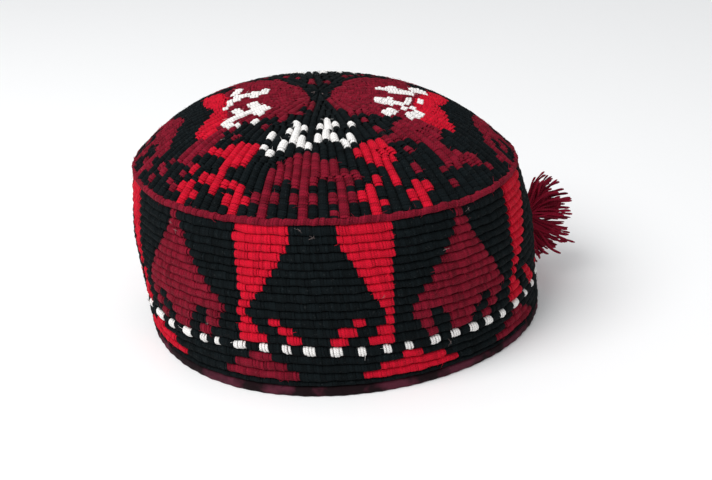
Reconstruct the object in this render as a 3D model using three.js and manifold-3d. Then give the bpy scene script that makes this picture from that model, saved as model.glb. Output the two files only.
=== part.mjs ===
// Corded tubeteika skullcap: a ribbed side band, a ribbed domed crown, a wrapped cord along the
// crease between them, a smooth binding round the hem and a small yarn tassel at the right back.
// Millimetres, +Z up. The front of the cap looks along -Y and it stands on its hem.
import * as THREE from 'three';
import { mergeVertices } from 'three/addons/utils/BufferGeometryUtils.js';
import Module from 'manifold-3d';

// Side band: outer radii at the hem and at the crease, height from hem to crease, padded wall
const hemRadius = 92;
const creaseRadius = 86.4;
const bandHeight = 76;
const bandThickness = 3.4;
const bandRibRelief = 0.8;

// Crown: rise of the dome above the crease, how square its shoulder is, padded wall
const domeRise = 28.5;
const domeShoulder = 3.26;
const crownThickness = 3;
const crownRibRelief = 0.8;

// Cord along the crease, binding of the hem, and the gap that sewn pieces keep to each other
const pipingDiameter = 3.4;
const pipingOutset = 0.4;
const hemHeight = 3.9;
const hemThickness = 3.3;
const hemRounding = 0.7;
const seamGap = 0.3;

// Tassel: knotted head on the wall, and the reach and thickness of its locks
const headRadius = 3.6;
const headLength = 4.5;
const lockLength = 25;
const lockRadius = 2.1;
const lockTipRadius = 1.7;
const tasselAngle = 100;
const tasselHeight = 33.5;

// How the soft cap leans as it stands, as sideways drift for each millimetre of height
const leanToRight = -0.06;
const leanToBack = 0.007;

// Where the side starts to turn in, as a share of its height, and how roundly it does so
const turnInStart = 0.6;
const turnInPower = 1.25;

// Soft waves around the cap; cosines and sines are shares of the radius or of the band's height
const radiusWaves = [
  { times: 2, hemCos: -0.006, hemSin: 0.008, creaseCos: -0.004, creaseSin: 0.004 },
  { times: 3, hemCos: 0.001, hemSin: -0.026, creaseCos: -0.023, creaseSin: 0.005 },
];
const heightWaves = [
  { times: 1, dotsCos: 0.002, dotsSin: 0.005, creaseCos: 0.017, creaseSin: -0.016 },
  { times: 2, dotsCos: 0.020, dotsSin: -0.012, creaseCos: -0.004, creaseSin: 0.014 },
];
const dottedRowShare = 0.2535;

// Cords of the side from the hem up; tall is each cord's height against the average one
const sideCords = [
  { tall: 1.06 }, { tall: 0.98 }, { tall: 0.98 }, { tall: 0.92 }, { tall: 1.17 },
  { tall: 1.22 }, { tall: 1.28 }, { tall: 1.11 }, { tall: 1.01 }, { tall: 0.93 },
  { tall: 1.02 }, { tall: 0.88 }, { tall: 0.88 }, { tall: 0.88 }, { tall: 0.90 },
  { tall: 0.97 }, { tall: 0.95 }, { tall: 0.95 }, { tall: 0.96 },
];

// Rings of the crown from the middle out: share of the crease radius, and ribs at that ring
const crownRings = [
  { out: 0.10, ribs: 16 },
  { out: 0.22, ribs: 16 },
  { out: 0.27, ribs: 32 },
  { out: 0.45, ribs: 32 },
  { out: 0.50, ribs: 64 },
  { out: 0.66, ribs: 64 },
  { out: 0.71, ribs: 128 },
  { out: 0.86, ribs: 128 },
];
const liningRings = [{ out: 0.88 }, { out: 0.74 }, { out: 0.5 }, { out: 0.22 }];

// Locks of the tassel: lift above the horizontal and sweep to the front, in degrees, and reach
const tasselLocks = [
  { lift: 74, sweep: -6, reach: 0.92 },
  { lift: 58, sweep: 14, reach: 0.80 },
  { lift: 44, sweep: -14, reach: 0.94 },
  { lift: 30, sweep: 8, reach: 0.92 },
  { lift: 14, sweep: -22, reach: 0.84 },
  { lift: 2, sweep: 6, reach: 0.84 },
  { lift: -14, sweep: -16, reach: 0.90 },
  { lift: -26, sweep: 12, reach: 0.96 },
  { lift: -38, sweep: -8, reach: 1.02 },
  { lift: -52, sweep: 10, reach: 1.02 },
  { lift: -66, sweep: -4, reach: 1.08 },
];

const bandColumns = 44;
const pipingColumns = 56;
const pipingSides = 6;
const lockSides = 6;
const lockDroop = 0.06;

const radians = THREE.MathUtils.degToRad;
const turn = 2 * Math.PI;
const pipingRadius = pipingDiameter / 2;
const bandBase = hemHeight + seamGap;
const bandTop = bandHeight - pipingRadius - seamGap;
const crownFoot = bandTop + seamGap;
const crownEdge = creaseRadius + pipingOutset - pipingRadius - seamGap;

const waves = (angle, table, end) => table.reduce((sum, wave) => sum
  + wave[`${end}Cos`] * Math.cos(wave.times * angle)
  + wave[`${end}Sin`] * Math.sin(wave.times * angle), 0);

// A point at an angle from the front towards +X, at a radius and a height, on the leaning cap
function place(angle, radius, height) {
  return new THREE.Vector3(
    radius * Math.sin(angle) + leanToRight * height,
    -radius * Math.cos(angle) + leanToBack * height,
    height,
  );
}

// Outer radius of the smooth side at a height, before its ribs
function bandRadius(angle, height) {
  const share = height / bandHeight;
  const turned = Math.max(0, (share - turnInStart) / (1 - turnInStart)) ** turnInPower;
  const plain = hemRadius + (creaseRadius - hemRadius) * turned;
  const hemWave = waves(angle, radiusWaves, 'hem') * (1 - share);
  const creaseWave = waves(angle, radiusWaves, 'crease') * share;
  return plain * (1 + hemWave + creaseWave);
}

// How far the waves lift a height of the side: none at the floor, then the dotted row, the crease
function bandLift(angle, height) {
  const share = height / bandHeight;
  const dots = waves(angle, heightWaves, 'dots');
  const crease = waves(angle, heightWaves, 'crease');
  const low = dots * share / dottedRowShare;
  const high = dots + (crease - dots) * (share - dottedRowShare) / (1 - dottedRowShare);
  return bandHeight * (share < dottedRowShare ? low : high);
}

// A point of the side, inset from its smooth outer face
function bandPoint(angle, height, inset) {
  const lifted = height + bandLift(angle, height);
  return place(angle, bandRadius(angle, height) - inset, lifted);
}

// A point of the dome at a share of the crease radius, moved in along its own normal
function domePoint(angle, share, inset) {
  const wave = waves(angle, radiusWaves, 'crease');
  const radius = creaseRadius * share * (1 + wave * share);
  const lift = bandHeight * waves(angle, heightWaves, 'crease') * share ** 2;
  const height = bandHeight + lift + domeRise * (1 - share ** domeShoulder);
  const fall = domeRise * domeShoulder * share ** (domeShoulder - 1) / creaseRadius;
  const length = Math.hypot(1, fall);
  return place(angle, radius - inset * fall / length, height - inset / length);
}

// A closed mesh with its faces turned outwards, whatever way round they were listed
function closedGeometry(points, faces) {
  const corner = (face, k) => points[face[k]];
  const cross = new THREE.Vector3();
  const volume = faces.reduce((sum, face) => sum
    + corner(face, 0).dot(cross.crossVectors(corner(face, 1), corner(face, 2))), 0);
  const turned = volume > 0 ? faces : faces.map(([a, b, c]) => [a, c, b]);
  const geometry = new THREE.BufferGeometry();
  const flat = points.flatMap((point) => point.toArray());
  geometry.setAttribute('position', new THREE.Float32BufferAttribute(flat, 3));
  geometry.setIndex(turned.flat());
  geometry.computeVertexNormals();
  return geometry;
}

// A ring around the cap: rows are functions of the angle, joined in a loop that closes on itself
function ringGeometry(rows, columns) {
  const points = [];
  for (let column = 0; column < columns; column += 1) {
    rows.forEach((row) => points.push(row(turn * column / columns)));
  }
  const faces = [];
  for (let column = 0; column < columns; column += 1) {
    const next = (column + 1) % columns;
    for (let row = 0; row < rows.length; row += 1) {
      const above = (row + 1) % rows.length;
      const a = column * rows.length + row;
      const b = next * rows.length + row;
      const c = next * rows.length + above;
      const d = column * rows.length + above;
      faces.push([a, b, c], [a, c, d]);
    }
  }
  return closedGeometry(points, faces);
}

// Side band: a padded wall whose outer face bulges over each cord and dips between them
function sideBand() {
  const total = sideCords.reduce((sum, cord) => sum + cord.tall, 0);
  const unit = (bandTop - bandBase) / total;
  const outer = [];
  let base = bandBase;
  sideCords.forEach((cord) => {
    const tall = cord.tall * unit;
    [{ up: 0, dip: 1 }, { up: 0.27, dip: 0 }, { up: 0.73, dip: 0 }].forEach((bend) => {
      const height = base + bend.up * tall;
      outer.push((angle) => bandPoint(angle, height, bend.dip * bandRibRelief));
    });
    base += tall;
  });
  outer.push((angle) => bandPoint(angle, bandTop, bandRibRelief));
  const inner = [1, 0.85, 0.7, 0.35, 0].map((share) => {
    const height = bandBase + share * (bandTop - bandBase);
    return (angle) => bandPoint(angle, height, bandThickness);
  });
  return ringGeometry([...outer, ...inner], bandColumns);
}

// Hem binding: flat underneath, rounded at its outer edges, under the lowest cord of the side
function hemBinding() {
  const section = [
    { height: 0, inset: hemThickness },
    { height: 0, inset: hemRounding },
    { height: hemRounding, inset: 0 },
    { height: hemHeight - hemRounding, inset: 0 },
    { height: hemHeight, inset: hemRounding },
    { height: hemHeight, inset: hemThickness },
  ];
  const rows = section.map(({ height, inset }) => (angle) => bandPoint(angle, height, inset));
  return ringGeometry(rows, bandColumns);
}

// Cord along the crease, seated on the side band and against the edge of the crown
function crownPiping() {
  const rows = [];
  for (let side = 0; side < pipingSides; side += 1) {
    const around = turn * side / pipingSides;
    rows.push((angle) => {
      const inset = -pipingOutset - pipingRadius * Math.cos(around);
      const point = bandPoint(angle, bandHeight, inset);
      point.z += pipingRadius * Math.sin(around);
      return point;
    });
  }
  return ringGeometry(rows, pipingColumns);
}

// Faces between two rings of points, the first with as many points as the second or a multiple
function joinRings(first, second) {
  const many = first.length / second.length;
  const faces = [];
  for (let step = 0; step < second.length; step += 1) {
    const next = (step + 1) % second.length;
    const half = Math.floor(many / 2);
    for (let part = 0; part < many; part += 1) {
      const a = first[step * many + part];
      const b = first[(step * many + part + 1) % first.length];
      faces.push([a, b, second[part < half ? step : next]]);
    }
    faces.push([first[step * many + half], second[next], second[step]]);
  }
  return faces;
}

// Crown: ribs that multiply from the middle out, a smooth inside, and a foot on the side band
function crownTop() {
  const points = [];
  const addRing = (count, at) => {
    const ring = Array.from({ length: count }, (_, index) => points.length + index);
    ring.forEach((_, index) => points.push(at(turn * index / count, index)));
    return ring;
  };
  const dip = (index) => (index % 2 === 1 ? crownRibRelief : 0);
  const ribbed = (out, ribs) => addRing(2 * ribs, (angle, index) => domePoint(angle, out, dip(index)));
  const edgeRibs = crownRings[crownRings.length - 1].ribs;
  const liningColumns = edgeRibs / 2;
  const bandInside = (angle) => bandRadius(angle, bandTop) - bandThickness;
  const foot = (angle, radius) => place(angle, radius, crownFoot + bandLift(angle, crownFoot));
  const edgeRadius = (angle) => bandRadius(angle, bandHeight) - creaseRadius + crownEdge;

  const outside = crownRings.map((ring) => ribbed(ring.out, ring.ribs));
  outside.push(ribbed(crownEdge / creaseRadius, edgeRibs));
  outside.push(addRing(2 * edgeRibs, (angle) => foot(angle, edgeRadius(angle))));
  const inside = [addRing(liningColumns, (angle) => foot(angle, bandInside(angle)))];
  liningRings.forEach(({ out }) => {
    inside.push(addRing(liningColumns, (angle) => domePoint(angle, out, crownThickness)));
  });

  const faces = [];
  for (let ring = 1; ring < outside.length; ring += 1) {
    faces.push(...joinRings(outside[ring], outside[ring - 1]));
  }
  faces.push(...joinRings(outside[outside.length - 1], inside[0]).map(([a, b, c]) => [a, c, b]));
  for (let ring = 1; ring < inside.length; ring += 1) {
    faces.push(...joinRings(inside[ring - 1], inside[ring]).map(([a, b, c]) => [a, c, b]));
  }
  const closePole = (ring, inset, flip) => {
    const pole = points.push(domePoint(0, 0, inset)) - 1;
    ring.forEach((corner, index) => {
      const next = ring[(index + 1) % ring.length];
      faces.push(flip ? [pole, next, corner] : [pole, corner, next]);
    });
  };
  closePole(outside[0], 0, false);
  closePole(inside[inside.length - 1], crownThickness, true);
  return closedGeometry(points, faces);
}

// One lock of yarn: a tapered prism from the origin along +Z, fullest at its middle
function lockGeometry(length) {
  const stations = [
    { along: 0, radius: 0.8 * lockRadius },
    { along: 0.55, radius: lockRadius },
    { along: 1, radius: lockTipRadius },
  ];
  const points = [];
  stations.forEach(({ along, radius }) => {
    for (let side = 0; side < lockSides; side += 1) {
      const around = turn * side / lockSides;
      const across = new THREE.Vector2(Math.cos(around), Math.sin(around)).multiplyScalar(radius);
      points.push(new THREE.Vector3(across.x, across.y, along * length));
    }
  });
  const start = points.push(new THREE.Vector3(0, 0, 0)) - 1;
  const tip = points.push(new THREE.Vector3(0, 0, length)) - 1;
  const faces = [];
  for (let side = 0; side < lockSides; side += 1) {
    const next = (side + 1) % lockSides;
    for (let station = 0; station + 1 < stations.length; station += 1) {
      const low = station * lockSides;
      const high = low + lockSides;
      faces.push([low + side, low + next, high + next], [low + side, high + next, high + side]);
    }
    const last = (stations.length - 1) * lockSides;
    faces.push([start, next, side], [tip, last + side, last + next]);
  }
  return closedGeometry(points, faces);
}

const wasm = await Module();
wasm.setup();

function toManifold(geometry) {
  const bare = geometry.clone();
  bare.deleteAttribute('normal');
  bare.deleteAttribute('uv');
  const merged = mergeVertices(bare, 1e-5);
  return new wasm.Manifold(new wasm.Mesh({
    numProp: 3,
    vertProperties: new Float32Array(merged.attributes.position.array),
    triVerts: new Uint32Array(merged.index.array),
  }));
}

function fromManifold(solid) {
  const mesh = solid.getMesh();
  const geometry = new THREE.BufferGeometry();
  geometry.setAttribute('position', new THREE.BufferAttribute(mesh.vertProperties, 3));
  geometry.setIndex(new THREE.BufferAttribute(mesh.triVerts, 1));
  geometry.computeVertexNormals();
  return geometry;
}

// Outward direction of the side at an angle and a height, over a patch of a given half width
function bandNormal(angle, height, patch) {
  const swing = patch / hemRadius;
  const across = bandPoint(angle + swing, height, 0).sub(bandPoint(angle - swing, height, 0));
  const rise = bandPoint(angle, height + patch, 0).sub(bandPoint(angle, height - patch, 0));
  return across.cross(rise).normalize();
}

// Tassel: a knotted head against the wall with locks that fan out and droop, all one body
function tassel() {
  const angle = radians(tasselAngle);
  const outward = bandNormal(angle, tasselHeight, headRadius);
  const up = new THREE.Vector3(0, 0, 1);
  const forward = new THREE.Vector3().crossVectors(outward, up).normalize();
  const seat = bandPoint(angle, tasselHeight, 0).addScaledVector(outward, seamGap);
  const head = new THREE.CylinderGeometry(headRadius * 0.8, headRadius, headLength, 10);
  head.translate(0, headLength / 2, 0);
  const headAxis = new THREE.Vector3(0, 1, 0);
  head.applyQuaternion(new THREE.Quaternion().setFromUnitVectors(headAxis, outward));
  let solid = toManifold(head);
  const knot = outward.clone().multiplyScalar(headLength * 0.75);
  tasselLocks.forEach(({ lift, sweep, reach }) => {
    const raised = radians(lift);
    const swept = radians(sweep);
    const aim = outward.clone().multiplyScalar(Math.cos(raised) * Math.cos(swept));
    aim.addScaledVector(forward, Math.cos(raised) * Math.sin(swept));
    aim.addScaledVector(up, Math.sin(raised) - lockDroop).normalize();
    const lock = lockGeometry(lockLength * reach);
    lock.applyQuaternion(new THREE.Quaternion().setFromUnitVectors(up, aim));
    lock.translate(knot.x, knot.y, knot.z);
    solid = solid.add(toManifold(lock));
  });
  const geometry = fromManifold(solid);
  geometry.translate(seat.x, seat.y, seat.z);
  return geometry;
}

const yarn = (color, roughness) => new THREE.MeshStandardMaterial({ color, roughness, metalness: 0 });
const cap = new THREE.Group();

function addPiece(name, geometry, material) {
  const mesh = new THREE.Mesh(geometry, material);
  mesh.name = name;
  cap.add(mesh);
}

addPiece('hem_binding', hemBinding(), yarn(0x2d1620, 0.95));
addPiece('side_band', sideBand(), yarn(0x14191c, 0.9));
addPiece('crown_piping', crownPiping(), yarn(0x7d1732, 0.85));
addPiece('crown_top', crownTop(), yarn(0x8a1a34, 0.9));
addPiece('tassel', tassel(), yarn(0x5c1024, 0.95));

// The origin is the middle of the whole cap on the surface that it stands on
const whole = new THREE.Box3().setFromObject(cap);
const middle = whole.getCenter(new THREE.Vector3());
cap.position.set(-middle.x, -middle.y, -whole.min.z);

export default cap;
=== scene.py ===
# %% [markdown]
# A corded skullcap, modelled the way it is made. Cotton cords are laid side by side and yarn is
# wrapped over each of them stitch by stitch, so that every rib is a row of small arched strands
# and the pattern is nothing but the colour of each strand. Here each strand is a small solid of
# its own, because the grooves, the stepped colour edges and the soft light all come from them.

# %% Load the measured frame of the cap
import math

import bpy
import numpy as np
from mathutils import Matrix, Vector


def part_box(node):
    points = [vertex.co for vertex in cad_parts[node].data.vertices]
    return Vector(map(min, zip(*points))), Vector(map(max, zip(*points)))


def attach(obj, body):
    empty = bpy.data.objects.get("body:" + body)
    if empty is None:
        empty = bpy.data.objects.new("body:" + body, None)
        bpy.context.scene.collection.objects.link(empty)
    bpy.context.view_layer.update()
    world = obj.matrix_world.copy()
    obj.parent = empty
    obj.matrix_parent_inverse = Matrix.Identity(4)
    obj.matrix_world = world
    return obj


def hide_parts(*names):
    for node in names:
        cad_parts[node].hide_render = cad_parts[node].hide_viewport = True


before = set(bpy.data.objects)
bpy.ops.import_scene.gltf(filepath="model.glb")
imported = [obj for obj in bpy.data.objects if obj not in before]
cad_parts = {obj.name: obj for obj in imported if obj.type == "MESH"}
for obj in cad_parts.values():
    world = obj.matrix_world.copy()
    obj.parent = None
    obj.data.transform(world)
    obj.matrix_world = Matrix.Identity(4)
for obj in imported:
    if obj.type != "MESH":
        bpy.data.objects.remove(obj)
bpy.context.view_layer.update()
print("frame nodes:", ", ".join(sorted(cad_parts)))

# %% [markdown]
# The whole cap follows two surfaces: a side that leans, waves and turns in towards the crease,
# and a dome with a square shoulder. Both are written as formulas of an angle and a height or a
# share of the radius, so that every strand can ask where the cloth is. Freehand sculpting would
# look right from one side only, and the strands could not follow it.

# %% Sizes of the cap, in metres
HEM_RADIUS = 0.092
CREASE_RADIUS = 0.0864
BAND_HEIGHT = 0.076
BAND_THICKNESS = 0.0034
DOME_RISE = 0.0285
DOME_SHOULDER = 3.26
CROWN_THICKNESS = 0.003
PIPING_RADIUS = 0.0017
PIPING_OUTSET = 0.0004
HEM_HEIGHT = 0.0039
HEM_THICKNESS = 0.0033
HEM_ROUNDING = 0.0007
SEAM_GAP = 0.0003
LEAN_RIGHT = -0.06
LEAN_BACK = 0.007
TURN_IN_START = 0.6
TURN_IN_POWER = 1.25
DOTTED_ROW_SHARE = 0.2535
BAND_BASE = HEM_HEIGHT + SEAM_GAP
BAND_TOP = BAND_HEIGHT - PIPING_RADIUS - SEAM_GAP
CROWN_EDGE = CREASE_RADIUS + PIPING_OUTSET - PIPING_RADIUS - SEAM_GAP

# Soft waves around the cap: how many, and the shares that follow the cosine and the sine
HEM_WAVES = ((2, -0.006, 0.008), (3, 0.001, -0.026))
CREASE_WAVES = ((2, -0.004, 0.004), (3, -0.023, 0.005))
DOTTED_ROW_LIFT = ((1, 0.002, 0.005), (2, 0.020, -0.012))
CREASE_LIFT = ((1, 0.017, -0.016), (2, -0.004, 0.014))
shift = np.zeros(3)


# %% The two surfaces of the cap
def waves(angle, table):
    return sum(c * np.cos(n * angle) + s * np.sin(n * angle) for n, c, s in table)


def signed(degrees):
    """The same direction as an angle between -180 and 180 degrees."""
    return (degrees + 180) % 360 - 180


def place(angle, radius, height):
    """A point at an angle from the front, at a radius and a height, on the leaning cap."""
    x = radius * np.sin(angle) + LEAN_RIGHT * height
    y = -radius * np.cos(angle) + LEAN_BACK * height
    return np.stack(np.broadcast_arrays(x, y, height), -1) + shift


def band_radius(angle, height):
    share = height / BAND_HEIGHT
    turned = np.maximum(0, (share - TURN_IN_START) / (1 - TURN_IN_START)) ** TURN_IN_POWER
    plain = HEM_RADIUS + (CREASE_RADIUS - HEM_RADIUS) * turned
    return plain * (1 + waves(angle, HEM_WAVES) * (1 - share) + waves(angle, CREASE_WAVES) * share)


def band_lift(angle, height):
    share = height / BAND_HEIGHT
    dots = waves(angle, DOTTED_ROW_LIFT)
    crease = waves(angle, CREASE_LIFT)
    above = (share - DOTTED_ROW_SHARE) / (1 - DOTTED_ROW_SHARE)
    low = dots * share / DOTTED_ROW_SHARE
    return BAND_HEIGHT * np.where(share < DOTTED_ROW_SHARE, low, dots + (crease - dots) * above)


def band_point(angle, height, inset):
    return place(angle, band_radius(angle, height) - inset, height + band_lift(angle, height))


def dome_point(angle, share, inset):
    """A point of the dome at a share of the crease radius, moved in along the dome's normal."""
    radius = CREASE_RADIUS * share * (1 + waves(angle, CREASE_WAVES) * share)
    lift = BAND_HEIGHT * waves(angle, CREASE_LIFT) * share ** 2
    height = BAND_HEIGHT + lift + DOME_RISE * (1 - share ** DOME_SHOULDER)
    fall = DOME_RISE * DOME_SHOULDER * share ** (DOME_SHOULDER - 1) / CREASE_RADIUS
    length = np.hypot(1, fall)
    return place(angle, radius - inset * fall / length, height - inset / length)


# %% Bring the formulas onto the frame
around_hem = np.linspace(0, 2 * math.pi, 44, endpoint=False)
low_line = band_point(around_hem, HEM_ROUNDING, 0)
high_line = band_point(around_hem, HEM_HEIGHT - HEM_ROUNDING, 0)
outline = np.concatenate([low_line, high_line])
hem_low, hem_high = (np.array(corner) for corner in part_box("hem_binding"))
middle = (hem_low + hem_high - outline.min(0) - outline.max(0)) / 2
shift = np.array([middle[0], middle[1], 0.0])
print("cap centre moved by (mm):", np.round(shift * 1000, 2))

# %% [markdown]
# The camera looks down on the cap a little, from close by. Its place came from fitting the seams,
# the dotted row and the outline, and the small shift of the lens keeps the cap where it sits in
# the picture without turning the view.

# %% Camera
FRAME_WIDTH = 712
LENS_PIXELS = 1243.0
SIDEWAYS_PIXELS = -18.64
UPWARD_PIXELS = -27.40
CAMERA_DISTANCE = 0.58836
CAMERA_ELEVATION = math.radians(22.882)
CAMERA_ROLL = math.radians(-2.079)
AIM_HEIGHT = 0.045

back = np.array([0, -math.cos(CAMERA_ELEVATION), math.sin(CAMERA_ELEVATION)])
sideways = np.array([1.0, 0, 0])
upright = np.array([0, math.sin(CAMERA_ELEVATION), math.cos(CAMERA_ELEVATION)])
right = math.cos(CAMERA_ROLL) * sideways + math.sin(CAMERA_ROLL) * upright
up = math.cos(CAMERA_ROLL) * upright - math.sin(CAMERA_ROLL) * sideways
eye = back * CAMERA_DISTANCE + np.array([0, 0, AIM_HEIGHT]) + shift

camera = bpy.data.objects.new("camera", bpy.data.cameras.new("camera"))
turned = Matrix(np.column_stack([right, up, back]).tolist()).to_4x4()
camera.matrix_world = Matrix.Translation(eye.tolist()) @ turned
camera.data.sensor_width = 36
camera.data.lens = LENS_PIXELS * camera.data.sensor_width / FRAME_WIDTH
camera.data.shift_x = -SIDEWAYS_PIXELS / FRAME_WIDTH
camera.data.shift_y = UPWARD_PIXELS / FRAME_WIDTH
bpy.context.scene.collection.objects.link(camera)
bpy.context.scene.camera = camera
print("camera at (m):", np.round(eye, 3), "lens (mm):", round(camera.data.lens, 2))

# %% [markdown]
# The photograph is cut out on plain white, and its light is soft. A pale floor with an even sky
# comes near that, and one wide lamp high at the front left brings out the ribs. Colours are shown
# as they are, without a film look, so that the reds stay as strong as the dyed yarn.

# %% Floor and light
FLOOR_REACH = 6.0
SKY_STRENGTH = 0.62
LAMP_AT = (-0.62, -0.52, 1.08)
LAMP_SIZE = 0.9
LAMP_POWER = 13.5

scene = bpy.context.scene
scene.view_settings.view_transform = "Standard"

floor_paint = bpy.data.materials.new("pale_floor")
floor_paint.use_nodes = True
floor_shader = floor_paint.node_tree.nodes["Principled BSDF"]
floor_shader.inputs["Base Color"].default_value = (0.96, 0.96, 0.96, 1)
floor_shader.inputs["Roughness"].default_value = 0.9
floor_mesh = bpy.data.meshes.new("floor")
corners = [(x * FLOOR_REACH, y * FLOOR_REACH, 0) for x, y in ((-1, -1), (1, -1), (1, 1), (-1, 1))]
floor_mesh.from_pydata(corners, [], [(0, 1, 2, 3)])
floor_mesh.materials.append(floor_paint)
floor = bpy.data.objects.new("floor", floor_mesh)
scene.collection.objects.link(floor)

world = bpy.data.worlds.new("even_sky")
world.use_nodes = True
world.node_tree.nodes["Background"].inputs["Color"].default_value = (0.97, 0.985, 1, 1)
world.node_tree.nodes["Background"].inputs["Strength"].default_value = SKY_STRENGTH
scene.world = world

lamp = bpy.data.objects.new("window", bpy.data.lights.new("window", "AREA"))
lamp.data.shape = "DISK"
lamp.data.size = LAMP_SIZE
lamp.data.energy = LAMP_POWER
lamp.location = LAMP_AT
lamp_aim = Vector((0, 0, AIM_HEIGHT)) - lamp.location
lamp.rotation_euler = lamp_aim.to_track_quat("-Z", "Y").to_euler()
scene.collection.objects.link(lamp)
print("floor and light are in place")

# %% [markdown]
# Yarn is matt and a little fuzzy: two plies twist round each other, loose fibres catch the
# light and are painted paler as a highlight, and no two stitches took the dye or the tension
# quite alike. All the yarns share these effects, so they are built once as a node group. It
# reads where a point lies on its own strand, which each mesh keeps as named values, and gives
# back a colour, a roughness, a height.

# %% A shared node group for twisted yarn
def feed(tree, value, socket):
    """Link a value that comes from a node, or else write it into the socket."""
    if isinstance(value, bpy.types.NodeSocket):
        tree.links.new(value, socket)
    elif value is not None:
        socket.default_value = value


def link_new(tree, kind, **values):
    node = tree.nodes.new(kind)
    for key, value in values.items():
        feed(tree, value, node.inputs[key.replace("_", " ")])
    return node


def sums(tree, operation, first, second=None):
    node = tree.nodes.new("ShaderNodeMath")
    node.operation = operation
    feed(tree, first, node.inputs[0])
    feed(tree, second, node.inputs[1])
    return node.outputs[0]


def blend_colours(tree, kind, share, first, second):
    node = tree.nodes.new("ShaderNodeMix")
    node.data_type = "RGBA"
    node.blend_type = kind
    for index, value in ((0, share), (6, first), (7, second)):
        feed(tree, value, node.inputs[index])
    return node.outputs[2]


def strand_value(tree, name):
    node = tree.nodes.new("ShaderNodeAttribute")
    node.attribute_name = name
    return node.outputs["Fac"]


def noise(tree, scale, detail):
    where = tree.nodes.new("ShaderNodeTexCoord").outputs["Object"]
    node = link_new(tree, "ShaderNodeTexNoise", Vector=where, Scale=scale, Detail=detail)
    return node.outputs["Fac"]


PLAIN_GREY = (0.5, 0.5, 0.5, 1)
GROUP_OUTPUTS = (("Colour", "Color"), ("Roughness", "Float"), ("Height", "Float"))


def new_group(name, inputs):
    """A shader node group with named inputs, which puts out a colour, a roughness and a height."""
    group = bpy.data.node_groups.new(name, "ShaderNodeTree")
    for label, kind, value in inputs:
        socket = group.interface.new_socket(label, in_out="INPUT", socket_type="NodeSocket" + kind)
        socket.default_value = value
    for label, kind in GROUP_OUTPUTS:
        group.interface.new_socket(label, in_out="OUTPUT", socket_type="NodeSocket" + kind)
    return group, group.nodes.new("NodeGroupInput"), group.nodes.new("NodeGroupOutput")


def put_out(group, result, *sockets):
    for (label, _), socket in zip(GROUP_OUTPUTS, sockets):
        group.links.new(socket, result.inputs[label])


def swing(tree, value, middle, strength):
    """How far a value lies above or below a middle, times a strength."""
    return sums(tree, "MULTIPLY", sums(tree, "SUBTRACT", value, middle), strength)


def between(tree, value, low, high):
    """0 below low, 1 above high, and a straight rise between them."""
    node = link_new(tree, "ShaderNodeMapRange", Value=value, From_Min=low, From_Max=high)
    return node.outputs["Result"]


def grey(tree, value):
    """A grey colour whose brightness is the value."""
    node = link_new(tree, "ShaderNodeCombineColor", Red=value, Green=value, Blue=value)
    return node.outputs["Color"]


PLY_TURN = 0.0011
PLY_SLANT = 2.6
FIBRE_SCALE = 3000.0
PATCH_SCALE = 55.0
LINT_SCALE = 900.0
LINT_LEVEL = 0.66
YARN_ROUGHNESS = 0.78


def make_yarn_group():
    group, given, result = new_group("twisted_yarn", [
        ("Dye", "Color", PLAIN_GREY), ("Dust", "Color", PLAIN_GREY),
        ("Uneven", "Float", 0.3), ("Dusty", "Float", 0.05)])
    across = strand_value(group, "across")
    along = strand_value(group, "along")
    shade = strand_value(group, "shade")
    turns = sums(group, "MULTIPLY", along, 2 * math.pi / PLY_TURN)
    slanted = sums(group, "ADD", turns, sums(group, "MULTIPLY", across, PLY_SLANT))
    ply = sums(group, "MULTIPLY", sums(group, "ADD", sums(group, "SINE", slanted), 1.0), 0.5)
    fibres = noise(group, FIBRE_SCALE, 4.0)
    patches = noise(group, PATCH_SCALE, 4.0)
    # The shade sets each strand's random tone; on loose fibres it is raised, a painted highlight
    both = sums(group, "ADD", sums(group, "SUBTRACT", shade, 0.5), sums(group, "SUBTRACT", patches, 0.5))
    change = sums(group, "MULTIPLY", both, given.outputs["Uneven"])
    small = sums(group, "ADD", swing(group, ply, 0.6, 0.3), swing(group, fibres, 0.5, 0.9))
    tone = sums(group, "ADD", sums(group, "ADD", 1.0, change), small)
    tinted = blend_colours(group, "MULTIPLY", 1.0, given.outputs["Dye"], grey(group, tone))
    lint = sums(group, "GREATER_THAN", noise(group, LINT_SCALE, 4.0), LINT_LEVEL)
    dusted = sums(group, "MULTIPLY", lint, given.outputs["Dusty"])
    final = blend_colours(group, "MIX", dusted, tinted, given.outputs["Dust"])
    rough = sums(group, "ADD", YARN_ROUGHNESS, sums(group, "MULTIPLY", fibres, 0.2))
    height = sums(group, "ADD", sums(group, "MULTIPLY", ply, 0.6), sums(group, "MULTIPLY", fibres, 0.5))
    put_out(group, result, final, rough, height)
    return group


yarn_group = make_yarn_group()
print("yarn group:", len(yarn_group.nodes), "nodes")


# %% The yarn materials
def new_material(name, group, settings, bump_distance, sheen, sheen_tint):
    """A material whose shader is fed by one of the shared groups."""
    material = bpy.data.materials.new(name)
    material.use_nodes = True
    tree = material.node_tree
    shader = tree.nodes["Principled BSDF"]
    look = tree.nodes.new("ShaderNodeGroup")
    look.node_tree = group
    for label, value in settings.items():
        look.inputs[label].default_value = value
    bump = tree.nodes.new("ShaderNodeBump")
    bump.inputs["Strength"].default_value = 0.7
    bump.inputs["Distance"].default_value = bump_distance
    for source, label, target, wanted in (
            (look, "Colour", shader, "Base Color"), (look, "Roughness", shader, "Roughness"),
            (look, "Height", bump, "Height"), (bump, "Normal", shader, "Normal")):
        tree.links.new(source.outputs[label], target.inputs[wanted])
    for label, value in (("Specular IOR Level", 0.08), ("Sheen Weight", sheen),
                         ("Sheen Roughness", 0.45), ("Sheen Tint", sheen_tint)):
        shader.inputs[label].default_value = value
    return material


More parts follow.
